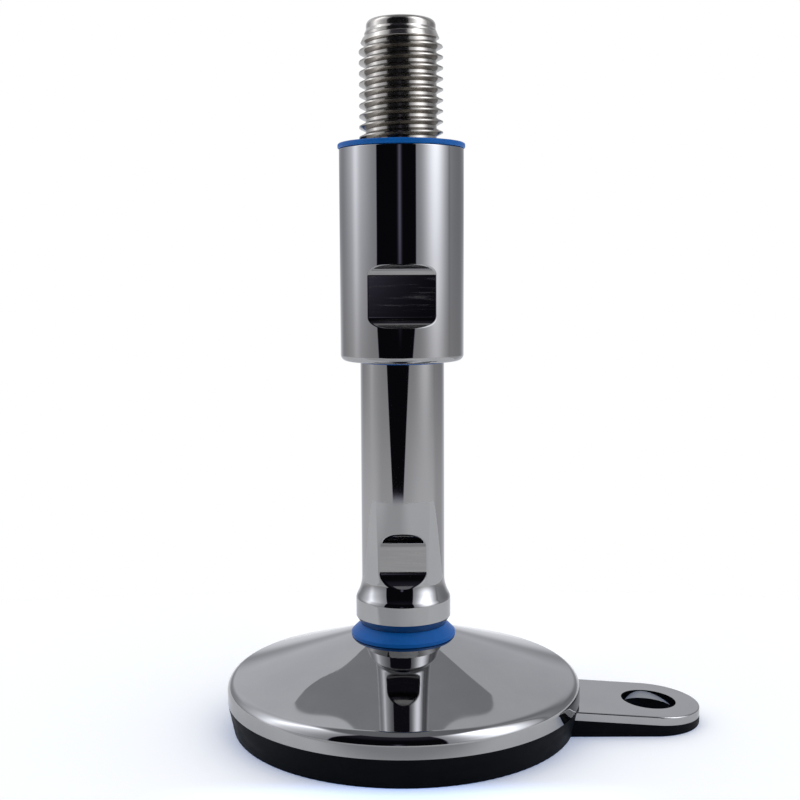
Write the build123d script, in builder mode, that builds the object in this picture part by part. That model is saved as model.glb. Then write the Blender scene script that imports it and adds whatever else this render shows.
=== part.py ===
from build123d import *
from math import asin, cos, radians, sin, sqrt, tan
import os

# Adjustable levelling foot: a steel base cone on a rubber pad with one bolt-down lug, a sealed ball
# joint, a smooth spindle that ends in an M24 stud, and a screwed sleeve that covers the thread between
# two blue seals. Millimetres, +Z up, origin on the floor under the spindle, lug along +X.

# Rubber pad
pad_height = 8.55
pad_foot_diameter = 101.0
pad_edge_radius = 0.4

# Base cone
base_diameter = 104.6
rim_height = 5.9
rim_radius = 3.8
cone_slope = 18.0
cone_top_radius = 9.5

# Bolt-down lug, a bent plate welded under the base
lug_width = 30.0
lug_thickness = 2.5
lug_slope = 3.8
lug_hole_distance = 73.4
lug_hole_diameter = 16.2
lug_bend_distance = 34.0
lug_tongue_length = 16.0
lug_edge_radius = 0.4
pad_hole_clearance = 0.6

# Ball stud, screwed into the base
ball_radius = 9.0
ball_rise = 9.0
stem_radius = 5.6
stud_shoulder_radius = 7.4
stud_shoulder_height = 0.8
stud_spigot_radius = 6.0
stud_spigot_length = 14.0

# Bell of the spindle, over the ball
bell_radius = 14.0
bell_clearance = 2.1
bell_chamfer_height = 2.2
bell_chamfer_width = 1.3
bell_side_height = 5.0
bell_flare_height = 6.8
bell_shoulder_radius = 3.0
socket_clearance = 0.05
collar_bore_radius = 10.9
collar_height = 3.0
collar_split = 0.6
collar_drop = 1.5
snap_ring_thickness = 1.2
snap_ring_width = 2.0
snap_groove_depth = 0.9
snap_ring_gap = 6.0

# Spindle
shank_radius = 12.2
shank_length = 92.2
shank_edge_chamfer = 0.5
spindle_flat_width = 20.0
spindle_flat_length = 6.2
spindle_flat_end_radius = 6.6
spindle_flat_rise = 11.0
stud_diameter = 24.0
stud_length = 60.5
stud_run_in = 5.0
stud_point_diameter = 19.8
stud_point_height = 2.65
stud_point_radius = 1.6
thread_relief_width = 1.0
thread_relief_depth = 0.4

# Sleeve
sleeve_radius = 17.9
sleeve_length = 60.6
sleeve_rise = 77.8
sleeve_bottom_radius = 1.8
sleeve_top_radius = 0.4
sleeve_thread_length = 25.0
sleeve_bore_clearance = 0.4
sleeve_flat_width = 30.3
sleeve_flat_length = 11.3
sleeve_flat_end_radius = 3.3
sleeve_flat_rise = 9.9

# Blue seals
seal_lip_radius = 15.4
seal_lip_thickness = 1.8
seal_lip_round = 0.4
seal_foot_round = 0.9
seal_throat_radius = 12.7
top_seal_thickness = 1.5
top_seal_overhang = 0.4
top_seal_bore_radius = 13.2
top_seal_key_width = 2.0
top_seal_key_depth = 2.5
wiper_width = 2.2
wiper_depth = 3.4
wiper_lip_height = 0.5
wiper_lip_width = 0.6

# Fits
running_fit = 0.05
seat_gap = 0.1

# Heights worked out from the sizes above
base_radius = base_diameter / 2
cone_tan = tan(radians(cone_slope))
cone_edge_height = pad_height + rim_height
cone_top = cone_edge_height + (base_radius - cone_top_radius) * cone_tan
ball_height = cone_top + ball_rise
bell_bottom = cone_top + bell_clearance
bell_shoulder = bell_bottom + bell_chamfer_height
flare_bottom = bell_shoulder + bell_side_height
shank_bottom = flare_bottom + bell_flare_height
shank_top = shank_bottom + shank_length
stud_radius = stud_diameter / 2
stud_crest_top = shank_top + stud_length
stud_point_bottom = stud_crest_top + stud_run_in
stud_top = stud_point_bottom + stud_point_height
collar_bottom = bell_bottom + collar_drop + snap_ring_thickness + seat_gap
collar_top = collar_bottom + collar_height
snap_ring_bottom = bell_bottom + collar_drop
sleeve_bottom = bell_bottom + sleeve_rise
sleeve_top = sleeve_bottom + sleeve_length
top_seal_top = sleeve_top + top_seal_thickness
seal_top = bell_bottom - seat_gap


def cone_height(radius):
    """Height of the base cone's surface at a radius."""
    return cone_edge_height + (base_radius - radius) * cone_tan


def lug_top(distance):
    """Height of the lug's sloping top face at a distance from the axis."""
    return pad_height - (distance - lug_bend_distance) * tan(radians(lug_slope))


def flat_cutters(flat_width, bottom, flat_length, end_radius, reach):
    """Milling profiles, across and up, of two opposite spanner flats whose ends run out in arcs."""
    near = flat_width / 2
    height = flat_length + 2 * end_radius
    with BuildSketch() as cutters:
        with Locations((near + reach / 2, bottom + height / 2)):
            Rectangle(reach, height)
        fillet(cutters.vertices().group_by(Axis.X)[0], end_radius)
        mirror(about=Plane.YZ)
    return cutters.sketch


def lug_outline():
    """Tongue with a full-round end about the bolt hole."""
    tongue_length = lug_hole_distance - lug_tongue_length
    with BuildSketch() as outline:
        with Locations((lug_hole_distance - tongue_length / 2, 0)):
            Rectangle(tongue_length, lug_width)
        with Locations((lug_hole_distance, 0)):
            Circle(lug_width / 2)
    return outline.sketch


lug_tip = lug_hole_distance + lug_width / 2
lug_fall = lug_thickness / cos(radians(lug_slope))
lug_under_bend = lug_bend_distance - lug_thickness * tan(radians(lug_slope / 2))
lug_hole_plane = Plane(
    origin=(lug_hole_distance, 0, lug_top(lug_hole_distance)),
    x_dir=(cos(radians(lug_slope)), 0, -sin(radians(lug_slope))),
    z_dir=(sin(radians(lug_slope)), 0, cos(radians(lug_slope))),
)

# Base cone, turned from solid, with a tapped hole for the ball stud
with BuildPart() as base_plate:
    with BuildSketch(Plane.XZ) as base_profile:
        with BuildLine():
            Polyline(
                (0, pad_height),
                (base_radius, pad_height),
                (base_radius, cone_edge_height),
                (cone_top_radius, cone_top),
                (0, cone_top),
                close=True,
            )
        make_face()
        fillet(base_profile.vertices().group_by(Axis.X)[-1].sort_by(Axis.Y)[-1], rim_radius)
    revolve(axis=Axis.Z)
    with BuildSketch(Plane.XY.offset(cone_top)):
        Circle(stud_spigot_radius + running_fit)
    extrude(amount=-stud_spigot_length, mode=Mode.SUBTRACT)

# Bolt-down lug: a plate that lies flat under the base and slopes down to its round end
with BuildPart() as bolt_down_lug:
    with BuildSketch(Plane.XZ):
        with BuildLine():
            Polyline(
                (lug_tongue_length, pad_height),
                (lug_bend_distance, pad_height),
                (lug_tip, lug_top(lug_tip)),
                (lug_tip, lug_top(lug_tip) - lug_fall),
                (lug_under_bend, pad_height - lug_thickness),
                (lug_tongue_length, pad_height - lug_thickness),
                close=True,
            )
        make_face()
    extrude(amount=lug_width / 2, both=True)
    with BuildSketch():
        add(lug_outline())
    extrude(amount=pad_height, mode=Mode.INTERSECT)
    sloping_top = bolt_down_lug.faces().filter_by(lug_hole_plane).sort_by(Axis.Z)[-1]
    fillet(sloping_top.edges().sort_by(Axis.X)[1:], lug_edge_radius)
    with BuildSketch(lug_hole_plane):
        Circle(lug_hole_diameter / 2)
    extrude(amount=lug_thickness, both=True, mode=Mode.SUBTRACT)

# Bed of rubber under the lug
with BuildPart() as lug_bed:
    with BuildSketch(Plane.XZ):
        with BuildLine():
            Polyline(
                (lug_tongue_length, 0),
                (lug_tip, 0),
                (lug_tip, lug_top(lug_tip) - lug_fall),
                (lug_under_bend, pad_height - lug_thickness),
                (lug_tongue_length, pad_height - lug_thickness),
                close=True,
            )
        make_face()
    extrude(amount=lug_width / 2, both=True)
    with BuildSketch():
        add(lug_outline())
    extrude(amount=pad_height, mode=Mode.INTERSECT)
    bed_foot = lug_bed.faces().sort_by(Axis.Z)[0]
    fillet(bed_foot.edges().sort_by(Axis.X)[1:], pad_edge_radius)

# Rubber pad, one moulding under the base and the lug
with BuildPart() as rubber_pad:
    with BuildSketch(Plane.XZ) as pad_profile:
        with BuildLine():
            Polyline(
                (0, 0),
                (pad_foot_diameter / 2, 0),
                (base_radius, pad_height),
                (0, pad_height),
                close=True,
            )
        make_face()
        fillet(pad_profile.vertices().group_by(Axis.Y)[0].sort_by(Axis.X)[-1], pad_edge_radius)
    revolve(axis=Axis.Z)
    add(lug_bed.part)
    add(bolt_down_lug.part, mode=Mode.SUBTRACT)
    with BuildSketch(lug_hole_plane):
        Circle(lug_hole_diameter / 2 + pad_hole_clearance)
    extrude(amount=2 * pad_height, both=True, mode=Mode.SUBTRACT)

# Ball stud: screwed spigot, shoulder on the cone's top, stem and ball
stem_top = ball_height - sqrt(ball_radius**2 - stem_radius**2)
with BuildPart() as ball_stud:
    with BuildSketch(Plane.XZ):
        with BuildLine():
            Polyline(
                (0, ball_height + ball_radius),
                (0, cone_top - stud_spigot_length),
                (stud_spigot_radius, cone_top - stud_spigot_length),
                (stud_spigot_radius, cone_top),
                (stud_shoulder_radius, cone_top),
                (stud_shoulder_radius, cone_top + stud_shoulder_height),
                (stem_radius, cone_top + stud_shoulder_height),
                (stem_radius, stem_top),
            )
            ThreePointArc((stem_radius, stem_top), (ball_radius, ball_height), (0, ball_height + ball_radius))
        make_face()
    revolve(axis=Axis.Z)

# Joint seal: a skirt that flares from the bell down to a lip on the cone
lip_height = cone_height(seal_lip_radius) + seat_gap
lip_top = lip_height + seal_lip_thickness
with BuildPart() as joint_seal:
    with BuildSketch(Plane.XZ) as seal_profile:
        with BuildLine():
            Polyline(
                (seal_throat_radius, seal_top),
                (stud_shoulder_radius + running_fit, seal_top),
                (stud_shoulder_radius + running_fit, cone_top + seat_gap),
                (cone_top_radius, cone_top + seat_gap),
                (seal_lip_radius, lip_height),
                (seal_lip_radius, lip_top),
                close=True,
            )
        make_face()
        lip_corners = seal_profile.vertices().group_by(Axis.X)[-1].sort_by(Axis.Y)
        fillet(lip_corners[0], seal_foot_round)
        fillet(lip_corners[-1], seal_lip_round)
    revolve(axis=Axis.Z)

# Retaining collar: a split ring under the ball, with a spherical seat
collar_seat_radius = ball_radius + running_fit
with BuildPart() as retaining_collar:
    with BuildSketch(Plane.XY.offset(collar_bottom)):
        Circle(collar_bore_radius - running_fit)
    extrude(amount=collar_height)
    with Locations((0, 0, ball_height)):
        Sphere(collar_seat_radius, mode=Mode.SUBTRACT)
    with BuildSketch(Plane.XY.offset(collar_bottom)):
        Rectangle(3 * collar_bore_radius, collar_split)
    extrude(amount=collar_height, mode=Mode.SUBTRACT)

# Snap ring that holds the collar in the bell
snap_outer_radius = collar_bore_radius + snap_groove_depth
with BuildPart() as snap_ring:
    with BuildSketch(Plane.XY.offset(snap_ring_bottom)):
        Circle(snap_outer_radius)
        Circle(snap_outer_radius - snap_ring_width, mode=Mode.SUBTRACT)
        with Locations((snap_outer_radius, 0)):
            Rectangle(4 * snap_ring_width, snap_ring_gap, mode=Mode.SUBTRACT)
    extrude(amount=snap_ring_thickness)

# Spindle: bell with the ball socket, shank with two flats, and the stud, plain at its thread's crests
relief_bottom = sleeve_top + (top_seal_thickness - thread_relief_width) / 2
relief_top = relief_bottom + thread_relief_width
flare_step = bell_radius - shank_radius
flare_radii = (flare_step**2 + bell_flare_height**2) / (2 * flare_step)
flare_turn = asin(bell_flare_height / flare_radii)
flare_middle = (
    bell_radius - bell_shoulder_radius * (1 - cos(flare_turn)),
    flare_bottom + bell_shoulder_radius * sin(flare_turn),
)
with BuildPart() as spindle:
    with BuildSketch(Plane.XZ) as spindle_profile:
        with BuildLine():
            bell_side = Polyline(
                (0, bell_bottom),
                (bell_radius - bell_chamfer_width, bell_bottom),
                (bell_radius, bell_shoulder),
                (bell_radius, flare_bottom),
            )
            bell_round = TangentArc(bell_side @ 1, flare_middle, tangent=(0, 1))
            TangentArc(flare_middle, (shank_radius, shank_bottom), tangent=bell_round % 1)
            Polyline(
                (shank_radius, shank_bottom),
                (shank_radius, shank_top - shank_edge_chamfer),
                (stud_radius, shank_top),
                (stud_radius, relief_bottom),
                (stud_radius - thread_relief_depth, relief_bottom),
                (stud_radius - thread_relief_depth, relief_top),
                (stud_radius, relief_top),
                (stud_radius, stud_crest_top),
                (stud_point_diameter / 2, stud_point_bottom),
                (stud_point_diameter / 2, stud_top),
                (0, stud_top),
                (0, bell_bottom),
            )
        make_face()
        fillet(spindle_profile.vertices().group_by(Axis.Y)[-1].sort_by(Axis.X)[-1], stud_point_radius)
    revolve(axis=Axis.Z)
    with BuildSketch(Plane.XY.offset(bell_bottom)):
        Circle(collar_bore_radius)
    extrude(amount=collar_top + seat_gap - bell_bottom, mode=Mode.SUBTRACT)
    with BuildSketch(Plane.XY.offset(snap_ring_bottom)):
        Circle(snap_outer_radius)
    extrude(amount=snap_ring_thickness, mode=Mode.SUBTRACT)
    with BuildSketch(Plane.XY.offset(collar_top)):
        Circle(ball_radius + socket_clearance)
    extrude(amount=ball_height - collar_top, mode=Mode.SUBTRACT)
    with Locations((0, 0, ball_height)):
        Sphere(ball_radius + socket_clearance, mode=Mode.SUBTRACT)
    with BuildSketch(Plane.YZ):
        add(
            flat_cutters(
                spindle_flat_width,
                bell_bottom + spindle_flat_rise,
                spindle_flat_length,
                spindle_flat_end_radius,
                2 * bell_radius,
            )
        )
    extrude(amount=2 * bell_radius, both=True, mode=Mode.SUBTRACT)

# Sleeve: a screwed collar with two flats, a key groove for its top seal and a pocket for the wiper
wiper_radius = shank_radius + running_fit + wiper_width
with BuildPart() as sleeve:
    with BuildSketch(Plane.XZ) as sleeve_profile:
        with BuildLine():
            Polyline(
                (wiper_radius + running_fit, sleeve_bottom),
                (sleeve_radius, sleeve_bottom),
                (sleeve_radius, sleeve_top),
                (top_seal_bore_radius + top_seal_key_width, sleeve_top),
                (top_seal_bore_radius + top_seal_key_width, sleeve_top - top_seal_key_depth),
                (top_seal_bore_radius, sleeve_top - top_seal_key_depth),
                (top_seal_bore_radius, sleeve_top),
                (stud_radius + running_fit, sleeve_top),
                (stud_radius + running_fit, sleeve_top - sleeve_thread_length),
                (shank_radius + sleeve_bore_clearance, sleeve_top - sleeve_thread_length),
                (shank_radius + sleeve_bore_clearance, sleeve_bottom + wiper_depth + seat_gap),
                (wiper_radius + running_fit, sleeve_bottom + wiper_depth + seat_gap),
                close=True,
            )
        make_face()
        outer_corners = sleeve_profile.vertices().group_by(Axis.X)[-1].sort_by(Axis.Y)
        fillet(outer_corners[0], sleeve_bottom_radius)
        fillet(outer_corners[-1], sleeve_top_radius)
    revolve(axis=Axis.Z)
    with BuildSketch(Plane.YZ):
        add(
            flat_cutters(
                sleeve_flat_width,
                sleeve_bottom + sleeve_flat_rise,
                sleeve_flat_length,
                sleeve_flat_end_radius,
                2 * sleeve_radius,
            )
        )
    extrude(amount=2 * sleeve_radius, both=True, mode=Mode.SUBTRACT)

# Top seal: a flat ring with a key pressed into the sleeve's end groove
top_seal_radius = sleeve_radius + top_seal_overhang
with BuildPart() as sleeve_top_seal:
    with BuildSketch(Plane.XZ) as top_seal_profile:
        with BuildLine():
            Polyline(
                (top_seal_bore_radius, top_seal_top),
                (top_seal_bore_radius, sleeve_top - top_seal_key_depth),
                (top_seal_bore_radius + top_seal_key_width, sleeve_top - top_seal_key_depth),
                (top_seal_bore_radius + top_seal_key_width, sleeve_top),
                (top_seal_radius, sleeve_top),
                (top_seal_radius, top_seal_top),
                close=True,
            )
        make_face()
        fillet(top_seal_profile.vertices().group_by(Axis.X)[-1], top_seal_thickness / 3)
    revolve(axis=Axis.Z)

# Wiper seal: runs on the shank in the sleeve's lower end, with a lip that shows under it
with BuildPart() as sleeve_wiper_seal:
    with BuildSketch(Plane.XZ):
        with BuildLine():
            Polyline(
                (shank_radius + running_fit, sleeve_bottom - wiper_lip_height),
                (shank_radius + running_fit + wiper_lip_width, sleeve_bottom - wiper_lip_height),
                (shank_radius + running_fit + wiper_lip_width, sleeve_bottom),
                (wiper_radius, sleeve_bottom),
                (wiper_radius, sleeve_bottom + wiper_depth),
                (shank_radius + running_fit, sleeve_bottom + wiper_depth),
                close=True,
            )
        make_face()
    revolve(axis=Axis.Z)

nodes = {
    "base_plate": base_plate,
    "bolt_down_lug": bolt_down_lug,
    "rubber_pad": rubber_pad,
    "ball_stud": ball_stud,
    "joint_seal": joint_seal,
    "retaining_collar": retaining_collar,
    "snap_ring": snap_ring,
    "spindle": spindle,
    "sleeve": sleeve,
    "sleeve_top_seal": sleeve_top_seal,
    "sleeve_wiper_seal": sleeve_wiper_seal,
}
os.makedirs("parts", exist_ok=True)
for name, node in nodes.items():
    node.part.label = name
    export_step(node.part, f"parts/{name}.step")
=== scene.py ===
from math import acos, asin, atan2, cos, degrees, hypot, pi, radians, sin, sqrt, tan

import bpy
import numpy as np
from mathutils import Matrix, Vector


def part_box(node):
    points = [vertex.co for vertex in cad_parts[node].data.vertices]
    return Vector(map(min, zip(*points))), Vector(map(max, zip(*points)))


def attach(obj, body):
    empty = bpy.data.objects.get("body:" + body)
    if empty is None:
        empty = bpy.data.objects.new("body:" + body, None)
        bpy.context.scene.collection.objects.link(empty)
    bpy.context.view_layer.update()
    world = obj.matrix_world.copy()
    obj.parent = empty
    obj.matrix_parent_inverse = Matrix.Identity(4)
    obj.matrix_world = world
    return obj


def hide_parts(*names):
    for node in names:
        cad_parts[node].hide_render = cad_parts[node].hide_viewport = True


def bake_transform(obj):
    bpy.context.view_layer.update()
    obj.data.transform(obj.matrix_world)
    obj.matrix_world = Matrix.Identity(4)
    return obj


# Adjustable levelling foot: mirror-polished turned steel, blue seals and a black rubber pad.
# Lengths are in millimetres and become metres where a mesh, a bump or the camera is made.
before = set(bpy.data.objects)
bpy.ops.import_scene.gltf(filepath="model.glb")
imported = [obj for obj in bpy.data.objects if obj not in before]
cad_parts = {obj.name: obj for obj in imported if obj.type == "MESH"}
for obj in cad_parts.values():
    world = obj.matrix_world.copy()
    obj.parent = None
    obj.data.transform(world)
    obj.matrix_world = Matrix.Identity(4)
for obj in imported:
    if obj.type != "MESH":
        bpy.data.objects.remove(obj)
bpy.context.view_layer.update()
MM = 0.001

# Fineness of the meshes
TURN_STEPS = 256  # sides of a turned piece
ROUND_STEP = 4.0  # degrees to a step of an arc
LEAST_ARC_STEPS = 3
WELD = 1e-6  # metres within which points become one
FLANK_POINTS = 9  # across a flank of the thread
LAND_POINTS = 4  # across its crest or its root
NO_LENGTH = 1e-9  # a shorter normal is taken as undefined


def cad_box(node):
    """Lowest and highest corner of a CAD node, in millimetres."""
    low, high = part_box(node)
    return low / MM, high / MM


# Sizes read from the frame
base_low, base_high = cad_box("base_plate")
spindle_low, spindle_high = cad_box("spindle")
sleeve_low, sleeve_high = cad_box("sleeve")
seal_high = cad_box("joint_seal")[1]
top_seal_low, top_seal_high = cad_box("sleeve_top_seal")
wiper_low, wiper_high = cad_box("sleeve_wiper_seal")
base_radius = base_high.x
bell_radius = spindle_high.x
sleeve_radius = sleeve_high.x

# Base cone
cone_slope = 18.0
cone_top_radius = 9.5
rim_radius = 3.8
stud_hole_radius = 6.05
stud_hole_depth = 14.0

# Spindle
bell_chamfer_height = 2.2
bell_chamfer_width = 1.3
bell_side_height = 5.0
bell_flare_height = 6.8
bell_shoulder_radius = 3.0
socket_bore_radius = 10.9
socket_bore_height = 5.9
ball_socket_radius = 9.05
ball_height = base_high.z + 9.0
shank_radius = 12.2
stud_reach = 68.15
shank_top = spindle_high.z - stud_reach
shank_chamfer = 0.5
spindle_flat_width = 20.0
spindle_flat_bottom = spindle_low.z + 11.0
spindle_flat_length = 6.2
spindle_flat_end_radius = 6.6
spindle_flat_edge = 0.35

# Thread, M24x3
thread_radius = 12.0
thread_pitch = 3.0
thread_depth = 1.84
crest_width = 0.375
root_width = 0.75
thread_run_in = 5.0
nose_radius = 9.9
nose_height = 2.65
nose_round = 1.6
thread_land = 0.5  # plain stretch between the shank and the thread
thread_start = 2.26  # a root's middle above the shank, on the right
thread_lead_turns = 2.25  # turns from the helix's beginning, at the front, to that point
thread_spare_turns = 3  # turns added so that the helix passes both ends
thread_end_step = 0.1  # the thread ends where its run-in is this much wider than the nose

# Sleeve and its seals
sleeve_bottom_round = 1.8
sleeve_top_round = 0.4
sleeve_bore_radius = 12.6
sleeve_thread_radius = 12.05
sleeve_thread_length = 25.0
sleeve_flat_width = 30.3
sleeve_flat_bottom = sleeve_low.z + 9.9
sleeve_flat_length = 11.3
sleeve_flat_end_radius = 3.3
sleeve_flat_edge = 0.2
wiper_pocket_radius = 14.5
wiper_pocket_depth = 3.5
wiper_bore_radius = 12.25
wiper_lip_width = 0.6
wiper_lip_round = 0.2
top_seal_bore_radius = 13.2
top_seal_key_radius = 15.2
top_seal_bore_round = 0.3

# Joint seal
seal_throat_radius = 12.7
seal_bore_radius = 7.45
seal_lip_thickness = 1.15
seal_lip_round = 0.35
seal_foot_round = 0.12
seal_gap = 0.1
seal_tilt_room = 1.2


def line(start, end):
    """Straight stroke of an outline: points (radius, height) with the normal on its right-hand side."""
    length = hypot(end[0] - start[0], end[1] - start[1])
    normal = ((end[1] - start[1]) / length, (start[0] - end[0]) / length)
    return [(start, normal), (end, normal)]


def arc(centre, radius, start_angle, end_angle):
    """Round stroke of an outline: the normal is outward where it turns left and inward otherwise."""
    steps = max(LEAST_ARC_STEPS, round(abs(end_angle - start_angle) / ROUND_STEP))
    side = 1 if end_angle > start_angle else -1
    stroke = []
    for step in range(steps + 1):
        angle = radians(start_angle + (end_angle - start_angle) * step / steps)
        point = (centre[0] + radius * cos(angle), centre[1] + radius * sin(angle))
        stroke.append((point, (side * cos(angle), side * sin(angle))))
    return stroke


def rounded(corners):
    """Strokes through corners (radius, height, rounding), with the outer side on the right of the way."""
    strokes = []
    place = corners[0][:2]
    for before, corner, after in zip(corners, corners[1:], corners[2:]):
        round_radius = corner[2] if len(corner) > 2 else 0
        arriving = atan2(corner[1] - before[1], corner[0] - before[0])
        leaving = atan2(after[1] - corner[1], after[0] - corner[0])
        turn = (leaving - arriving + pi) % (2 * pi) - pi
        if round_radius == 0:
            strokes.append(line(place, corner[:2]))
            place = corner[:2]
            continue
        back = round_radius * tan(abs(turn) / 2)
        start = (corner[0] - back * cos(arriving), corner[1] - back * sin(arriving))
        side = 1 if turn > 0 else -1
        inward = arriving + side * pi / 2
        centre = (start[0] + round_radius * cos(inward), start[1] + round_radius * sin(inward))
        first = degrees(inward) + 180
        if hypot(start[0] - place[0], start[1] - place[1]) > WELD / MM:
            strokes.append(line(place, start))
        bend = arc(centre, round_radius, first, first + degrees(turn))
        strokes.append(bend)
        place = bend[-1][0]
    strokes.append(line(place, corners[-1][:2]))
    return strokes


class Surface:
    """Faces welded where they meet, each with its true normal at every corner."""

    def __init__(self):
        self.index = {}
        self.vertices = []
        self.faces = []
        self.normals = []
        self.slots = []

    def number(self, point, key):
        if key not in self.index:
            self.index[key] = len(self.vertices)
            self.vertices.append(point)
        return self.index[key]

    def grid(self, points, normals, slot=0):
        """Adds a grid of points in millimetres; edges that shrink to a point become triangles."""
        points = np.asarray(points, float) * MM
        normals = np.asarray(normals, float)
        keys = map(tuple, np.rint(points / WELD).astype(int).reshape(-1, 3).tolist())
        numbers = [self.number(p, k) for p, k in zip(points.reshape(-1, 3).tolist(), keys)]
        corner_normals = normals.reshape(-1, 3).tolist()
        along_row = points[:-1, 1:] - points[:-1, :-1]
        along_column = points[1:, :-1] - points[:-1, :-1]
        facing = (np.cross(along_row, along_column) * normals[:-1, :-1]).sum()
        rows, columns = points.shape[:2]
        for row in range(rows - 1):
            for column in range(columns - 1):
                first = row * columns + column
                ring = [first, first + 1, first + columns + 1, first + columns]
                if facing < 0:
                    ring.reverse()
                kept = [c for n, c in enumerate(ring) if numbers[c] != numbers[ring[n - 1]]]
                if len({numbers[c] for c in kept}) < 3:
                    continue
                self.faces.append([numbers[c] for c in kept])
                self.normals.extend(corner_normals[c] for c in kept)
                self.slots.append(slot)

    def turn(self, strokes, slot=0):
        """Adds strokes of an outline, turned about the axis."""
        angles = np.linspace(0, 2 * pi, TURN_STEPS + 1)
        across, towards = np.sin(angles), -np.cos(angles)
        for stroke in strokes:
            radius, height = np.array([p for p, n in stroke]).T
            out, up = np.array([n for p, n in stroke]).T
            level = np.ones_like(angles)
            points = [np.outer(radius, across), np.outer(radius, towards), np.outer(height, level)]
            normals = [np.outer(out, across), np.outer(out, towards), np.outer(up, level)]
            self.grid(np.stack(points, axis=2), np.stack(normals, axis=2), slot)

    def piece(self, name, materials):
        """The finished mesh as an object."""
        mesh = bpy.data.meshes.new(name)
        mesh.from_pydata(self.vertices, [], self.faces)
        mesh.polygons.foreach_set("use_smooth", [True] * len(self.faces))
        mesh.polygons.foreach_set("material_index", self.slots)
        mesh.normals_split_custom_set(self.normals)
        for material in materials:
            mesh.materials.append(material)
        made = bpy.data.objects.new(name, mesh)
        bpy.context.scene.collection.objects.link(made)
        return made


def turned_piece(name, strokes, material):
    """One turned piece from its outline."""
    surface = Surface()
    surface.turn(strokes)
    return surface.piece(name, [material])


class SpannerFlats:
    """Two opposite milled flats, at the front and the back, whose ends run out in arcs."""

    end_rows = 18
    arc_columns = TURN_STEPS // 2
    flat_shares = (-1, -0.5, 0, 0.5, 1)
    steepest_end = 89.0  # degrees
    search_steps = 60
    edge_growth = 2.5  # how much softer the edge gets where an end slopes
    widest_edge = 0.35  # of half the flat's width

    def __init__(self, width, bottom, length, end_radius, edge_round):
        self.near = width / 2
        self.edge_round = edge_round
        self.end_radius = end_radius
        self.arc_low = bottom + end_radius
        self.arc_high = self.arc_low + length

    def run_out(self, angle, side):
        """Height, distance from the axis and slope where an end arc has turned by an angle."""
        middle = self.arc_high if side > 0 else self.arc_low
        height = middle + side * self.end_radius * sin(angle)
        distance = self.near + self.end_radius * (1 - cos(angle))
        return height, distance, side * tan(angle)

    def closing_angle(self, outline, side):
        """Turn of an end arc at which it leaves the turned surface."""
        low, high = 0.0, radians(self.steepest_end)
        for _ in range(self.search_steps):
            middle = (low + high) / 2
            height, distance, _slope = self.run_out(middle, side)
            if distance < outline(height)[0]:
                low = middle
            else:
                high = middle
        return low

    def rows(self, outline):
        """Rows (height, distance, slope) from the lower end of the flats to the upper one."""
        shares = [1 - (row / self.end_rows) ** 2 for row in range(self.end_rows + 1)]
        low_angle = self.closing_angle(outline, -1)
        high_angle = self.closing_angle(outline, 1)
        lower = [self.run_out(low_angle * share, -1) for share in shares]
        upper = [self.run_out(high_angle * share, 1) for share in reversed(shares)]
        return lower + upper

    def cut(self, surface, outline, flat_slot):
        """Adds the band that holds the flats; outline gives the turned radius and its slope by height."""
        flat_points, flat_normals = [], []
        edge_points, edge_normals = [], []
        side_points, side_normals = [], []
        for height, distance, slope in self.rows(outline):
            radius, radius_slope = outline(height)
            half_angle = acos(min(1.0, distance / radius))
            half_width = radius * sin(half_angle)
            softened = self.edge_round * (1 + self.edge_growth * abs(slope))
            edge = min(softened, self.widest_edge * half_width)
            reach = half_width - edge
            flat_out = 1 / hypot(1, slope)
            flat_normal = (0, -flat_out, -slope * flat_out)
            flat_points.append([(share * reach, -distance, height) for share in self.flat_shares])
            flat_normals.append([flat_normal] * len(self.flat_shares))
            start = half_angle + edge / radius
            angles = np.linspace(start, pi - start, self.arc_columns + 1)
            across, towards, level = np.sin(angles), -np.cos(angles), np.ones_like(angles)
            out = 1 / hypot(1, radius_slope)
            side_points.append(np.stack([radius * across, radius * towards, height * level], 1))
            side_normals.append(np.stack([out * across, out * towards, -radius_slope * out * level], 1))
            edge_points.append([flat_points[-1][-1], side_points[-1][0]])
            edge_normals.append([flat_normal, side_normals[-1][0]])
        mirrored = np.array((-1, 1, 1))
        half_turn = np.array((-1, -1, 1))
        for way in (np.ones(3), half_turn):
            surface.grid(np.array(flat_points) * way, np.array(flat_normals) * way, flat_slot)
            surface.grid(np.array(side_points) * way, np.array(side_normals) * way)
            surface.grid(np.array(edge_points) * way, np.array(edge_normals) * way)
            surface.grid(np.array(edge_points) * way * mirrored, np.array(edge_normals) * way * mirrored)


def make_material(name, metallic=0):
    """A new node material, its Principled shader and its node tree."""
    material = bpy.data.materials.new(name)
    material.use_nodes = True
    tree = material.node_tree
    shader = tree.nodes["Principled BSDF"]
    shader.inputs["Metallic"].default_value = metallic
    return material, shader, tree


def stretched_noise(tree, stretch, scale, detail):
    """Noise over the piece's own coordinates, stretched by its three scales."""
    coordinates = tree.nodes.new("ShaderNodeTexCoord")
    mapping = tree.nodes.new("ShaderNodeMapping")
    mapping.inputs["Scale"].default_value = stretch
    noise = tree.nodes.new("ShaderNodeTexNoise")
    noise.inputs["Scale"].default_value = scale
    noise.inputs["Detail"].default_value = detail
    tree.links.new(coordinates.outputs["Object"], mapping.inputs["Vector"])
    tree.links.new(mapping.outputs["Vector"], noise.inputs["Vector"])
    return noise.outputs["Fac"]


def paint(tree, shader, factor, between, colours):
    """Base colour from the first of two colours to the second as a factor goes between two values."""
    node = tree.nodes.new("ShaderNodeValToRGB")
    for element, position, colour in zip(node.color_ramp.elements, between, colours):
        element.position = position
        element.color = (*colour, 1)
    tree.links.new(factor, node.inputs["Fac"])
    tree.links.new(node.outputs["Color"], shader.inputs["Base Color"])


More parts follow.
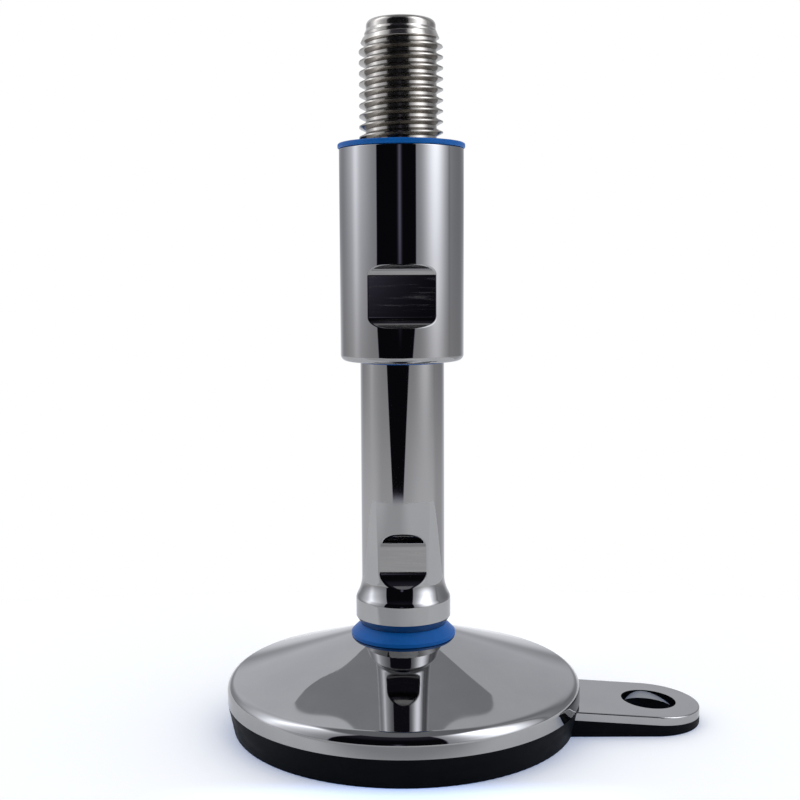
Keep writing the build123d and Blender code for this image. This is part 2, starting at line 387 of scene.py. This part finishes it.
def roughen(tree, shader, factor, between, roughness):
    """Roughness from the first of two values to the second as a factor goes between two others."""
    node = tree.nodes.new("ShaderNodeMapRange")
    for socket, value in zip(node.inputs[1:5], (*between, *roughness)):
        socket.default_value = value
    tree.links.new(factor, node.inputs["Value"])
    tree.links.new(node.outputs["Result"], shader.inputs["Roughness"])


def bump(tree, shader, height, strength, depth):
    """Fine relief from a factor, its depth in millimetres."""
    node = tree.nodes.new("ShaderNodeBump")
    node.inputs["Strength"].default_value = strength
    node.inputs["Distance"].default_value = depth * MM
    tree.links.new(height, node.inputs["Height"])
    tree.links.new(node.outputs["Normal"], shader.inputs["Normal"])


# Tint of steel's reflection at grazing view, where it gains less than the plain formula says
edge_tint = (0.8, 0.8, 0.81, 1)


def polished_steel():
    """Mirror-polished stainless steel with faint turning lines and smears."""
    material, shader, tree = make_material("mirror_polished_steel", metallic=1)
    shader.inputs["Specular Tint"].default_value = edge_tint
    smears = stretched_noise(tree, stretch=(1, 1, 0.35), scale=90, detail=4)
    lines = stretched_noise(tree, stretch=(0.02, 0.02, 1), scale=9000, detail=2)
    paint(tree, shader, smears, between=(0.3, 0.7), colours=[(0.328, 0.328, 0.332), (0.352, 0.352, 0.352)])
    roughen(tree, shader, smears, between=(0.35, 0.7), roughness=(0.015, 0.04))
    bump(tree, shader, lines, strength=0.02, depth=0.003)
    return material


def milled_steel():
    """Polished spanner flats with the marks of the cutter across them."""
    material, shader, tree = make_material("milled_flat_steel", metallic=1)
    shader.inputs["Specular Tint"].default_value = edge_tint
    marks = stretched_noise(tree, stretch=(0.03, 1, 1), scale=3500, detail=3)
    scratches = stretched_noise(tree, stretch=(0.05, 0.2, 1), scale=1500, detail=6)
    paint(tree, shader, scratches, between=(0.45, 0.75), colours=[(0.315, 0.31, 0.31), (0.37, 0.365, 0.355)])
    roughen(tree, shader, scratches, between=(0.5, 0.8), roughness=(0.04, 0.3))
    bump(tree, shader, marks, strength=0.06, depth=0.004)
    return material


def threaded_steel():
    """Cut thread: brighter, a little rougher, with lines along the flanks."""
    material, shader, tree = make_material("cut_thread_steel", metallic=1)
    shader.inputs["Specular Tint"].default_value = edge_tint
    lines = stretched_noise(tree, stretch=(0.04, 0.04, 1), scale=6000, detail=3)
    stains = stretched_noise(tree, stretch=(1, 1, 1), scale=400, detail=4)
    paint(tree, shader, stains, between=(0.3, 0.7), colours=[(0.37, 0.353, 0.328), (0.45, 0.431, 0.399)])
    roughen(tree, shader, lines, between=(0.3, 0.7), roughness=(0.13, 0.19))
    bump(tree, shader, lines, strength=0.06, depth=0.006)
    return material


def inner_steel():
    """Turned steel inside the joint, left bright from the tool."""
    material, shader, tree = make_material("turned_inner_steel", metallic=1)
    lines = stretched_noise(tree, stretch=(0.03, 0.03, 1), scale=5000, detail=3)
    paint(tree, shader, lines, between=(0.3, 0.7), colours=[(0.36, 0.355, 0.35), (0.46, 0.455, 0.45)])
    roughen(tree, shader, lines, between=(0.3, 0.7), roughness=(0.2, 0.34))
    bump(tree, shader, lines, strength=0.25, depth=0.01)
    return material


def blue_rubber():
    """Moulded blue seal rubber: fine grain, faint mottling, soft sheen."""
    material, shader, tree = make_material("blue_seal_rubber")
    shader.inputs["Specular IOR Level"].default_value = 0.14
    grain = stretched_noise(tree, stretch=(1, 1, 1), scale=2600, detail=5)
    mottle = stretched_noise(tree, stretch=(1, 1, 1), scale=260, detail=3)
    paint(tree, shader, mottle, between=(0.3, 0.7), colours=[(0.001, 0.093, 0.38), (0.002, 0.11, 0.435)])
    roughen(tree, shader, mottle, between=(0.3, 0.7), roughness=(0.34, 0.46))
    bump(tree, shader, grain, strength=0.12, depth=0.02)
    return material


def black_rubber():
    """Moulded black rubber with a fine grain and a trace of dust."""
    material, shader, tree = make_material("black_pad_rubber")
    shader.inputs["Specular IOR Level"].default_value = 0.05
    grain = stretched_noise(tree, stretch=(1, 1, 1), scale=2200, detail=5)
    dust = stretched_noise(tree, stretch=(1, 1, 2.5), scale=140, detail=6)
    paint(tree, shader, dust, between=(0.4, 0.8), colours=[(0.0011, 0.0019, 0.0034), (0.0036, 0.005, 0.0075)])
    roughen(tree, shader, dust, between=(0.3, 0.75), roughness=(0.45, 0.65))
    bump(tree, shader, grain, strength=0.15, depth=0.03)
    return material


steel = polished_steel()
flat_steel = milled_steel()
thread_steel = threaded_steel()
hidden_steel = inner_steel()
blue = blue_rubber()
black = black_rubber()


def base_cone():
    """Base: flat wall, rounded rim, cone, and the hole that the ball stud is screwed into."""
    top = base_high.z
    edge_height = top - (base_radius - cone_top_radius) * tan(radians(cone_slope))
    hole_floor = top - stud_hole_depth
    corners = [
        (0, base_low.z),
        (base_radius, base_low.z),
        (base_radius, edge_height, rim_radius),
        (cone_top_radius, top),
        (stud_hole_radius, top),
        (stud_hole_radius, hole_floor),
        (0, hole_floor),
    ]
    made = turned_piece("base_cone", rounded(corners), steel)
    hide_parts("base_plate")
    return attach(made, "base")


# Flare of the bell: a rounded shoulder and a cove that meet without a corner and run into the shank
flare_low = spindle_low.z + bell_chamfer_height + bell_side_height
flare_high = flare_low + bell_flare_height
flare_step = bell_radius - shank_radius
flare_radii = (flare_step**2 + bell_flare_height**2) / (2 * flare_step)
cove_radius = flare_radii - bell_shoulder_radius
flare_turn = asin(bell_flare_height / flare_radii)
flare_middle = flare_low + bell_shoulder_radius * sin(flare_turn)


def spindle_outline(height):
    """Radius and slope of the spindle's outside above the bell's side."""
    if height >= flare_high:
        return shank_radius, 0.0
    if height > flare_middle:
        drop = flare_high - height
        across = sqrt(cove_radius**2 - drop**2)
        return shank_radius + cove_radius - across, -drop / across
    rise = height - flare_low
    across = sqrt(bell_shoulder_radius**2 - rise**2)
    return bell_radius - bell_shoulder_radius + across, -rise / across


def spindle_body():
    """Bell with its socket, flare, flats and the smooth shank up to the thread."""
    flats = SpannerFlats(
        spindle_flat_width,
        spindle_flat_bottom,
        spindle_flat_length,
        spindle_flat_end_radius,
        spindle_flat_edge,
    )
    rows = flats.rows(spindle_outline)
    flats_low, flats_high = rows[0][0], rows[-1][0]
    bore_top = spindle_low.z + socket_bore_height
    full_turn = degrees(flare_turn)
    cut_turn = degrees(asin((flare_high - flats_low) / cove_radius))
    bell = [
        (ball_socket_radius, bore_top),
        (socket_bore_radius, bore_top),
        (socket_bore_radius, spindle_low.z),
        (bell_radius - bell_chamfer_width, spindle_low.z),
        (bell_radius, spindle_low.z + bell_chamfer_height),
        (bell_radius, flare_low),
    ]
    socket = arc((0, ball_height), ball_socket_radius, 90, 0)
    shoulder_centre = (bell_radius - bell_shoulder_radius, flare_low)
    cove_centre = (shank_radius + cove_radius, flare_high)
    chamfer_low = shank_top - shank_chamfer
    surface = Surface()
    surface.turn([socket, line((ball_socket_radius, ball_height), (ball_socket_radius, bore_top))])
    surface.turn(rounded(bell))
    surface.turn([arc(shoulder_centre, bell_shoulder_radius, 0, full_turn)])
    surface.turn([arc(cove_centre, cove_radius, 180 + full_turn, 180 + cut_turn)])
    flats.cut(surface, spindle_outline, 1)
    surface.turn([line((shank_radius, flats_high), (shank_radius, chamfer_low))])
    surface.turn([line((shank_radius, chamfer_low), (thread_radius, shank_top))])
    made = surface.piece("spindle_body", [steel, flat_steel])
    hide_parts("spindle")
    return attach(made, "spindle")


def thread_profile():
    """One pitch of the thread, from root to root: faces as lists of (way along the axis, depth)."""
    root_end = root_width / 2
    crest_start = (thread_pitch - crest_width) / 2
    corners = [(0, thread_depth), (root_end, thread_depth), (crest_start, 0)]
    corners += [(thread_pitch - place, depth) for place, depth in reversed(corners)]
    faces = []
    for (first, first_depth), (last, last_depth) in zip(corners, corners[1:]):
        count = FLANK_POINTS if first_depth != last_depth else LAND_POINTS
        ways = np.linspace(first, last, count)
        depths = np.linspace(first_depth, last_depth, count)
        faces.append(list(zip(ways, depths)))
    return faces


def spindle_thread():
    """Right-hand thread from the shank to the nose, run in along a cone at its upper end."""
    nose_bottom = spindle_high.z - nose_height
    crest_top = nose_bottom - thread_run_in
    run_slope = (thread_radius - nose_radius) / thread_run_in
    end_radius = nose_radius + thread_end_step
    end_height = nose_bottom - thread_end_step / run_slope
    start_height = shank_top + thread_land
    steps = TURN_STEPS // 2
    turns = int((end_height - start_height) / thread_pitch) + thread_spare_turns
    angles = np.arange(turns * steps + 1) * (2 * pi / steps)
    first = shank_top + thread_start - thread_lead_turns * thread_pitch
    across, towards = np.sin(angles)[:, None], -np.cos(angles)[:, None]
    surface = Surface()
    for face in thread_profile():
        ways, depths = np.array(face).T
        heights = first + angles[:, None] / (2 * pi) * thread_pitch + ways[None, :]
        fade = np.clip((heights - start_height) / thread_pitch, 0, 1)
        radii = thread_radius - depths[None, :] * fade
        run_in = thread_radius - np.clip(heights - crest_top, 0, None) * run_slope
        radii = np.minimum(radii, run_in)
        radii = np.where(heights > end_height, end_radius, radii)
        radii = np.where(heights < start_height, thread_radius, radii)
        heights = np.clip(heights, start_height, end_height)
        points = np.stack([radii * across, radii * towards, heights], axis=2)
        normals = np.cross(np.gradient(points, axis=0), np.gradient(points, axis=1))
        length = np.linalg.norm(normals, axis=2, keepdims=True)
        flat = np.stack([across + 0 * radii, towards + 0 * radii, 0 * radii], axis=2)
        unit_normals = normals / np.maximum(length, NO_LENGTH)
        surface.grid(points, np.where(length > NO_LENGTH, unit_normals, flat))
    nose = [
        (end_radius, end_height),
        (nose_radius, nose_bottom),
        (nose_radius, spindle_high.z, nose_round),
        (0, spindle_high.z),
    ]
    surface.turn([line((thread_radius, shank_top), (thread_radius, start_height))])
    surface.turn(rounded(nose))
    made = surface.piece("spindle_thread", [thread_steel])
    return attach(made, "spindle")


def sleeve_outline(height):
    """Radius and slope of the sleeve's outside, the same at every height."""
    return sleeve_radius, 0.0


def cover_sleeve():
    """Sleeve: rounded ends, two flats, key groove for the top seal, bore and wiper pocket."""
    flats = SpannerFlats(
        sleeve_flat_width,
        sleeve_flat_bottom,
        sleeve_flat_length,
        sleeve_flat_end_radius,
        sleeve_flat_edge,
    )
    rows = flats.rows(sleeve_outline)
    low, high = sleeve_low.z, sleeve_high.z
    pocket_top = low + wiper_pocket_depth
    thread_bottom = high - sleeve_thread_length
    key_bottom = top_seal_low.z
    lower = [
        (wiper_pocket_radius, pocket_top),
        (wiper_pocket_radius, low),
        (sleeve_radius, low, sleeve_bottom_round),
        (sleeve_radius, rows[0][0]),
    ]
    upper = [
        (sleeve_radius, rows[-1][0]),
        (sleeve_radius, high, sleeve_top_round),
        (top_seal_key_radius, high),
        (top_seal_key_radius, key_bottom),
        (top_seal_bore_radius, key_bottom),
        (top_seal_bore_radius, high),
        (sleeve_thread_radius, high),
        (sleeve_thread_radius, thread_bottom),
        (sleeve_bore_radius, thread_bottom),
        (sleeve_bore_radius, pocket_top),
        (wiper_pocket_radius, pocket_top),
    ]
    surface = Surface()
    surface.turn(rounded(lower))
    flats.cut(surface, sleeve_outline, 1)
    surface.turn(rounded(upper))
    made = surface.piece("cover_sleeve", [steel, flat_steel])
    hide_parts("sleeve")
    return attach(made, "sleeve")


def top_seal():
    """Blue ring on the sleeve's upper end, keyed into its groove."""
    low, middle, high = top_seal_low.z, sleeve_high.z, top_seal_high.z
    edge_round = (high - middle) / 3
    corners = [
        (top_seal_bore_radius, low),
        (top_seal_key_radius, low),
        (top_seal_key_radius, middle),
        (top_seal_high.x, middle, edge_round),
        (top_seal_high.x, high, edge_round),
        (top_seal_bore_radius, high, top_seal_bore_round),
        (top_seal_bore_radius, low),
    ]
    made = turned_piece("top_seal_ring", rounded(corners), blue)
    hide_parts("sleeve_top_seal")
    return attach(made, "sleeve")


def wiper_seal():
    """Blue wiper in the sleeve's lower end, its lip on the shank."""
    lip_low = wiper_low.z
    corners = [
        (wiper_bore_radius, lip_low),
        (wiper_bore_radius + wiper_lip_width, lip_low, wiper_lip_round),
        (wiper_bore_radius + wiper_lip_width, sleeve_low.z),
        (wiper_high.x, sleeve_low.z),
        (wiper_high.x, wiper_high.z),
        (wiper_bore_radius, wiper_high.z),
        (wiper_bore_radius, lip_low),
    ]
    made = turned_piece("wiper_lip", rounded(corners), blue)
    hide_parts("sleeve_wiper_seal")
    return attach(made, "wiper")


def joint_skirt():
    """Blue skirt between the bell and the cone."""
    lip_radius, top = seal_high.x, seal_high.z
    inner_low = base_high.z + seal_gap
    lip_low = inner_low - (lip_radius - cone_top_radius) * tan(radians(cone_slope))
    lip_top = lip_low + seal_lip_thickness
    corners = [
        (seal_bore_radius, inner_low),
        (cone_top_radius, inner_low),
        (lip_radius, lip_low, seal_foot_round),
        (lip_radius, lip_top, seal_lip_round),
        (seal_throat_radius, top),
        (seal_bore_radius + seal_tilt_room, top),
        (seal_bore_radius, inner_low),
    ]
    made = turned_piece("joint_skirt", rounded(corners), blue)
    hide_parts("joint_seal")
    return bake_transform(made)


base_cone()
spindle_body()
spindle_thread()
cover_sleeve()
top_seal()
wiper_seal()
joint_skirt()

# Pieces shown as the CAD has them
node_materials = {
    "bolt_down_lug": steel,
    "rubber_pad": black,
    "ball_stud": hidden_steel,
    "retaining_collar": hidden_steel,
    "snap_ring": hidden_steel,
}
for node, material in node_materials.items():
    for material_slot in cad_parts[node].material_slots:
        material_slot.material = material


# Studio: a pale floor inside a light tent that is open towards the camera. Directions are in degrees,
# azimuth 0 towards the camera and positive to the right; levels are shares of white. A pair of directions
# or places, where nothing else is said, is where a change begins and where it is complete.

# Opening of the tent, and a dim strip in it: azimuth, spread across, level
opening_centre = -10.0
opening_drift = -3.0
opening_drift_drop = (2.0, -8.0)
opening_half_width = 36.5
opening_narrowing = 2.6
opening_taper_top = -2.2
opening_low = -10.6
opening_top = 65.0
opening_blend = 1.0
opening_foot_blend = 0.3
opening_level = 0.006
opening_high_level = 0.03
opening_high_rise = (30.0, 55.0)
opening_strip = (-3.4, 2.8, 0.19)
opening_strip_foot = (-4.0, 3.0)
opening_strip_head = (8.0, 5.5)

# Side walls, their brighter foot, and the stretches where that is dimmer: begin and end of each
middle_blend = (-1.0, 1.0)
wall_level = 0.47
low_wall_level = 0.98
low_wall_drop = (-3.0, -12.0)
low_side_level = 0.74
low_side_stretches = [
    ((-85.0, -58.0), (50.0, 0.0)),
    ((88.0, 108.0), (152.0, 128.0)),
]

# Backdrop: its level on the left and right, and its edge towards the side walls, low and high
backdrop_level = (1.03, 0.9)
backdrop_rise = (2.0, 13.0)
backdrop_low_level = 0.5
backdrop_low_drop = (4.0, -4.0)
backdrop_centre_level = 0.74
backdrop_centre = (165.0, 173.0)
backdrop_edge = (149.0, 131.0)
backdrop_edge_rise = (6.0, 22.0)
backdrop_edge_blend = 14.0
ceiling_level = 0.3
ceiling_rise = (58.0, 68.0)

# Dark part of the ceiling behind the object, left and right: its foot, its side, where that starts, its curve
rear_ceiling_level = 0.46
rear_ceiling_foot = (40.0, 43.0)
rear_ceiling_side = (156.8, 158.3)
rear_ceiling_start = (41.4, 44.5)
rear_ceiling_curve = (0.057, 0.09)
rear_ceiling_wave = 1.45
rear_ceiling_wave_length = 5.0
rear_ceiling_wave_start = 159.5
rear_ceiling_blend = 0.1
rear_ceiling_foot_blend = 0.15

# Lamps behind the tent's cloth, and two darker strips: azimuth, spread across, strength
tent_lamps = [
    (-93.0, 8.0, 0.87),
    (-92.0, 29.0, 1.12),
    (65.0, 20.5, 3.0),
    (98.0, 3.0, -0.25),
    (132.0, 20.0, -0.1),
]
lamp_foot = (-12.0, 14.0)
lamp_head = (70.0, 56.0)
lamp_rise = (15.0, 38.0)
lamp_gain = 1.45

# Tints of the tent, with where the backdrop's begins and where the low wall's ends
low_wall_tint = (1.0, 1.0, 1.04)
wall_tint = (0.968, 0.985, 1.055)
backdrop_tint = (0.962, 0.985, 1.04)
opening_tint = (1.0, 0.96, 1.4)
backdrop_tint_start = (120.0, 160.0)
wall_tint_rise = (-5.0, 2.0)

# Soft light on all that isn't polished
soft_level = 1.15
soft_opening_level = 0.1

# Floor, in millimetres
floor_radius = 370.0
floor_behind = 150.0
floor_sides = 96
# The paper is yellowish and its lift a bluish glow: where lit they add up to white, and in the shadow the
# glow leaves a painted blue tint
paper_tint = (0.95, 0.907, 0.78)
floor_lift = (0.09, 0.15, 0.31)

# Its front as the steel mirrors it, darkened as painted shade: level at the centre and aside, and the dim
# patch close to the base, a painted shadow of the base
front_floor_start = (-58.0, -80.0)
front_floor_painted_shade_level = (0.7, 0.94)
front_floor_centre = -130.0
front_floor_spread = (50.0, 260.0)
painted_base_shadow_level = 0.52
painted_base_shadow_side = (60.0, 30.0)
painted_base_shadow_front = (-130.0, -100.0)

# Painted light just in front of the base, which clears the base's shadow there and which only the camera sees
front_painted_light = 2.2
front_painted_light_side = (75.0, 20.0)
front_painted_light_start = (-44.0, -56.0)


class Formula:
    """Short forms for math nodes in one tree."""

    def __init__(self, tree):
        self.tree = tree

    def math(self, operation, *values):
        node = self.tree.nodes.new("ShaderNodeMath")
        node.operation = operation
        for socket, value in zip(node.inputs, values):
            if isinstance(value, (int, float)):
                socket.default_value = value
            else:
                self.tree.links.new(value, socket)
        return node.outputs[0]

    def step(self, value, low, high):
        """Smooth step from 0 at low to 1 at high."""
        node = self.tree.nodes.new("ShaderNodeMapRange")
        node.interpolation_type = "SMOOTHSTEP"
        node.inputs["From Min"].default_value = low
        node.inputs["From Max"].default_value = high
        self.tree.links.new(value, node.inputs["Value"])
        return node.outputs["Result"]

    def both(self, first, second):
        """Product of two shares."""
        return self.math("MULTIPLY", first, second)

    def stretch(self, value, begin, end):
        """1 from the end of one step to the end of another one that comes from the far side."""
        return self.both(self.step(value, *begin), self.step(value, *end))

    def mix(self, factor, first, second):
        """first where the factor is 0, second where it is 1."""
        change = self.math("SUBTRACT", second, first)
        return self.math("MULTIPLY_ADD", factor, change, first)

    def glow(self, azimuth, centre, across, strength):
        """Soft upright strip about an azimuth: light, or darker where the strength is negative."""
        sideways = self.math("MULTIPLY", self.math("SUBTRACT", azimuth, centre), 1 / across)
        fall = self.math("EXPONENT", self.math("MULTIPLY", self.math("POWER", sideways, 2), -1))
        return self.math("MULTIPLY", fall, strength)

    def tinted(self, value, tint_levels):
        """A colour from one value and its red, green and blue levels."""
        node = self.tree.nodes.new("ShaderNodeCombineColor")
        for socket, level in zip(node.inputs, tint_levels):
            self.tree.links.new(self.math("MULTIPLY", value, level), socket)
        return node.outputs["Color"]

    def place(self, coordinates):
        """The three parts of a kind of texture coordinates."""
        source = self.tree.nodes.new("ShaderNodeTexCoord")
        parts = self.tree.nodes.new("ShaderNodeSeparateXYZ")
        self.tree.links.new(source.outputs[coordinates], parts.inputs["Vector"])
        return parts.outputs

    def straight_rays(self, rays):
        """1 for rays that come from the camera, directly or through something clear."""
        return self.math("MAXIMUM", rays.outputs["Is Camera Ray"], rays.outputs["Is Transmission Ray"])


def rear_ceiling(formula, azimuth, elevation):
    """1 on the dark part of the ceiling behind the object, whose foot waves on the left."""
    aside = formula.math("ABSOLUTE", azimuth)
    right = formula.step(azimuth, *middle_blend)
    foot, side, start, curve = [
        formula.mix(right, *pair)
        for pair in (rear_ceiling_foot, rear_ceiling_side, rear_ceiling_start, rear_ceiling_curve)
    ]
    turn = formula.math("SUBTRACT", aside, rear_ceiling_wave_start)
    wave = formula.math("SINE", formula.math("MULTIPLY", turn, 2 * pi / rear_ceiling_wave_length))
    wave = formula.math("MULTIPLY", wave, formula.mix(right, rear_ceiling_wave, 0.0))
    over_foot = formula.math("SUBTRACT", formula.math("SUBTRACT", elevation, foot), wave)
    rise = formula.math("MAXIMUM", formula.math("SUBTRACT", elevation, start), 0.0)
    edge = formula.math("MULTIPLY_ADD", formula.math("POWER", rise, 2), curve, side)
    past_edge = formula.math("SUBTRACT", aside, edge)
    behind = formula.step(past_edge, -rear_ceiling_blend, rear_ceiling_blend)
    above = formula.step(over_foot, -rear_ceiling_foot_blend, rear_ceiling_foot_blend)
    return formula.both(behind, above)


def tent_cloth(formula, azimuth, elevation):
    """Level of the side walls and the backdrop, each with its lower part."""
    right = formula.step(azimuth, *middle_blend)
    aside = formula.math("ABSOLUTE", azimuth)
    centre = formula.step(aside, *backdrop_centre)
    low_backdrop = formula.mix(centre, backdrop_low_level, backdrop_centre_level)
    high_backdrop = formula.mix(right, *backdrop_level)
    backdrop = formula.mix(formula.step(elevation, *backdrop_rise), low_backdrop, high_backdrop)
    edge = formula.mix(formula.step(elevation, *backdrop_edge_rise), *backdrop_edge)
    past_edge = formula.math("SUBTRACT", aside, edge)
    behind = formula.step(past_edge, -backdrop_edge_blend, backdrop_edge_blend)
    cloth = formula.mix(behind, wall_level, backdrop)
    dimmed = 0.0
    for begin, end in low_side_stretches:
        dimmed = formula.math("ADD", formula.stretch(azimuth, begin, end), dimmed)
    foot_level = formula.mix(dimmed, low_wall_level, low_side_level)
    wall_foot = formula.step(elevation, *low_wall_drop)
    backdrop_foot = formula.step(elevation, *backdrop_low_drop)
    return formula.mix(formula.mix(behind, wall_foot, backdrop_foot), cloth, foot_level)


def tent_walls(formula, azimuth, elevation):
    """Level of the tent: its cloth, the lamps behind that, and the ceiling."""
    cloth = tent_cloth(formula, azimuth, elevation)
    wall = formula.mix(rear_ceiling(formula, azimuth, elevation), cloth, rear_ceiling_level)
    gain = formula.mix(formula.step(elevation, *lamp_rise), 1.0, lamp_gain)
    upright = formula.both(formula.stretch(elevation, lamp_foot, lamp_head), gain)
    for centre, across, strength in tent_lamps:
        strip = formula.glow(azimuth, centre, across, strength)
        wall = formula.math("MULTIPLY_ADD", strip, upright, wall)
    return formula.mix(formula.step(elevation, *ceiling_rise), wall, ceiling_level)


def tent_opening(formula, azimuth, elevation):
    """1 inside the tent's opening, which narrows towards its foot, and 0 outside."""
    below = formula.math("MAXIMUM", formula.math("SUBTRACT", opening_taper_top, elevation), 0.0)
    half_width = formula.math("MULTIPLY_ADD", below, -opening_narrowing, opening_half_width)
    drop = formula.step(elevation, *opening_drift_drop)
    centre = formula.math("MULTIPLY_ADD", drop, opening_drift, opening_centre)
    offset = formula.math("ABSOLUTE", formula.math("SUBTRACT", azimuth, centre))
    inside = formula.step(formula.math("SUBTRACT", half_width, offset), -opening_blend, opening_blend)
    foot = (opening_low - opening_foot_blend, opening_low + opening_foot_blend)
    top = (opening_top + opening_blend, opening_top - opening_blend)
    return formula.both(inside, formula.stretch(elevation, foot, top))


def opening_dark(formula, azimuth, elevation):
    """Level inside the opening: nearly black, with one dim strip."""
    dark = formula.mix(formula.step(elevation, *opening_high_rise), opening_level, opening_high_level)
    strip = formula.glow(azimuth, *opening_strip)
    strip_height = formula.stretch(elevation, opening_strip_foot, opening_strip_head)
    return formula.math("MULTIPLY_ADD", strip, strip_height, dark)


def tent_tints(formula, azimuth, elevation, opening):
    """Red, green and blue levels of the tent's tint."""
    behind = formula.step(formula.math("ABSOLUTE", azimuth), *backdrop_tint_start)
    raised = formula.step(elevation, *wall_tint_rise)
    levels = []
    for low, middle, rear, dark in zip(low_wall_tint, wall_tint, backdrop_tint, opening_tint):
        cloth = formula.mix(behind, formula.mix(raised, low, middle), rear)
        levels.append(formula.mix(opening, cloth, dark))
    return levels


def light_tent():
    """World: the tent that the polished steel mirrors, plain soft light, and white for the camera."""
    world = bpy.data.worlds.new("light_tent")
    bpy.context.scene.world = world
    world.use_nodes = True
    tree = world.node_tree
    tree.nodes.clear()
    formula = Formula(tree)
    direction = formula.place("Generated")
    towards = formula.math("MULTIPLY", direction["Y"], -1)
    azimuth = formula.math("DEGREES", formula.math("ARCTAN2", direction["X"], towards))
    elevation = formula.math("DEGREES", formula.math("ARCSINE", direction["Z"]))
    opening = tent_opening(formula, azimuth, elevation)
    walls = tent_walls(formula, azimuth, elevation)
    tent = formula.mix(opening, walls, opening_dark(formula, azimuth, elevation))
    tints = tent_tints(formula, azimuth, elevation, opening)
    mirrored = tree.nodes.new("ShaderNodeBackground")
    tree.links.new(formula.tinted(tent, tints), mirrored.inputs["Color"])
    soft = tree.nodes.new("ShaderNodeBackground")
    tree.links.new(formula.mix(opening, soft_level, soft_opening_level), soft.inputs["Color"])
    white = tree.nodes.new("ShaderNodeBackground")
    white.inputs["Color"].default_value = (1, 1, 1, 1)
    rays = tree.nodes.new("ShaderNodeLightPath")
    lit = tree.nodes.new("ShaderNodeMixShader")
    tree.links.new(rays.outputs["Is Glossy Ray"], lit.inputs["Fac"])
    tree.links.new(soft.outputs["Background"], lit.inputs[1])
    tree.links.new(mirrored.outputs["Background"], lit.inputs[2])
    seen = tree.nodes.new("ShaderNodeMixShader")
    tree.links.new(formula.straight_rays(rays), seen.inputs["Fac"])
    tree.links.new(lit.outputs["Shader"], seen.inputs[1])
    tree.links.new(white.outputs["Background"], seen.inputs[2])
    output = tree.nodes.new("ShaderNodeOutputWorld")
    tree.links.new(seen.outputs["Shader"], output.inputs["Surface"])


def mirrored_floor_painted_shade(formula, across, back):
    """Share of its level at which the steel shows the floor: painted shade in front, and a painted shadow
    close to the base.
    """
    beside_centre = formula.math("ABSOLUTE", formula.math("SUBTRACT", across, front_floor_centre))
    front = formula.mix(formula.step(beside_centre, *front_floor_spread), *front_floor_painted_shade_level)
    aside = formula.math("ABSOLUTE", across)
    # painted shadow of the base: the floor's colour is dimmer close to it where the steel mirrors it
    painted_base_shadow_share = formula.both(formula.step(aside, *painted_base_shadow_side), formula.step(back, *painted_base_shadow_front))
    front = formula.mix(painted_base_shadow_share, front, painted_base_shadow_level)
    return formula.mix(formula.step(back, *front_floor_start), 1.0, front)


def floor_material():
    """Pale paper: lit by the tent, lifted to white, with painted shade in front where the steel mirrors it
    and painted light just in front of the base for the camera.
    """
    material = bpy.data.materials.new("pale_floor")
    material.use_nodes = True
    tree = material.node_tree
    tree.nodes.clear()
    formula = Formula(tree)
    place = formula.place("Object")
    across = formula.math("MULTIPLY", place["X"], 1 / MM)
    back = formula.math("MULTIPLY", place["Y"], 1 / MM)
    rays = tree.nodes.new("ShaderNodeLightPath")
    straight = formula.straight_rays(rays)
    # painted shade in the floor's colour where the steel mirrors it; the camera sees the full level
    level = formula.mix(straight, mirrored_floor_painted_shade(formula, across, back), 1.0)
    paper = tree.nodes.new("ShaderNodeBsdfDiffuse")
    tree.links.new(formula.tinted(level, paper_tint), paper.inputs["Color"])
    # painted light just in front of the base, for the camera only, which clears the base's shadow there
    aside = formula.math("ABSOLUTE", across)
    ahead = formula.both(formula.step(aside, *front_painted_light_side), formula.step(back, *front_painted_light_start))
    front = formula.both(straight, formula.math("MULTIPLY", ahead, front_painted_light))
    # bluish glow for the camera and the steel, which lifts the floor to white and paints a blue tint into its
    # shadow
    shown = formula.math("MAXIMUM", straight, rays.outputs["Is Glossy Ray"])
    lift = tree.nodes.new("ShaderNodeEmission")
    lift.inputs["Color"].default_value = (*floor_lift, 1)
    tree.links.new(formula.math("MULTIPLY_ADD", shown, level, front), lift.inputs["Strength"])
    total = tree.nodes.new("ShaderNodeAddShader")
    tree.links.new(paper.outputs["BSDF"], total.inputs[0])
    tree.links.new(lift.outputs["Emission"], total.inputs[1])
    output = tree.nodes.new("ShaderNodeOutputMaterial")
    tree.links.new(total.outputs["Shader"], output.inputs["Surface"])
    return material


def pale_floor():
    """Floor of the tent, round in front and shallower behind; it keeps the object's shadow."""
    corners = []
    for angle in np.linspace(0, 2 * pi, floor_sides, endpoint=False):
        depth = floor_behind if sin(angle) > 0 else floor_radius
        corners.append((floor_radius * MM * cos(angle), depth * MM * sin(angle), 0))
    mesh = bpy.data.meshes.new("tent_floor")
    mesh.from_pydata(corners, [], [tuple(range(floor_sides))])
    mesh.materials.append(floor_material())
    floor = bpy.data.objects.new("tent_floor", mesh)
    bpy.context.scene.collection.objects.link(floor)


# Camera, in millimetres and degrees, with the focal length in pixels of the 800-pixel picture and the
# nearest view in metres
image_width = 800
sensor_width = 36
nearest_view = 0.01
focal_pixels = 1235.0
camera_place = (0.0, -359.5, 134.35)
camera_pitch = -6.0
camera_heading = 0.113
camera_roll = -0.265


def photo_camera():
    """Camera at the photograph's viewing angle."""
    data = bpy.data.cameras.new("photo_camera")
    data.sensor_width = sensor_width
    data.lens = focal_pixels / image_width * sensor_width
    data.clip_start = nearest_view
    camera = bpy.data.objects.new("photo_camera", data)
    bpy.context.scene.collection.objects.link(camera)
    heading = Matrix.Rotation(radians(camera_heading), 4, "Z")
    pitch = Matrix.Rotation(radians(90 + camera_pitch), 4, "X")
    roll = Matrix.Rotation(radians(camera_roll), 4, "Z")
    place = Matrix.Translation([length * MM for length in camera_place])
    camera.matrix_world = place @ heading @ pitch @ roll
    bpy.context.scene.camera = camera


light_tent()
pale_floor()
photo_camera()
bpy.context.scene.view_settings.view_transform = "Standard"
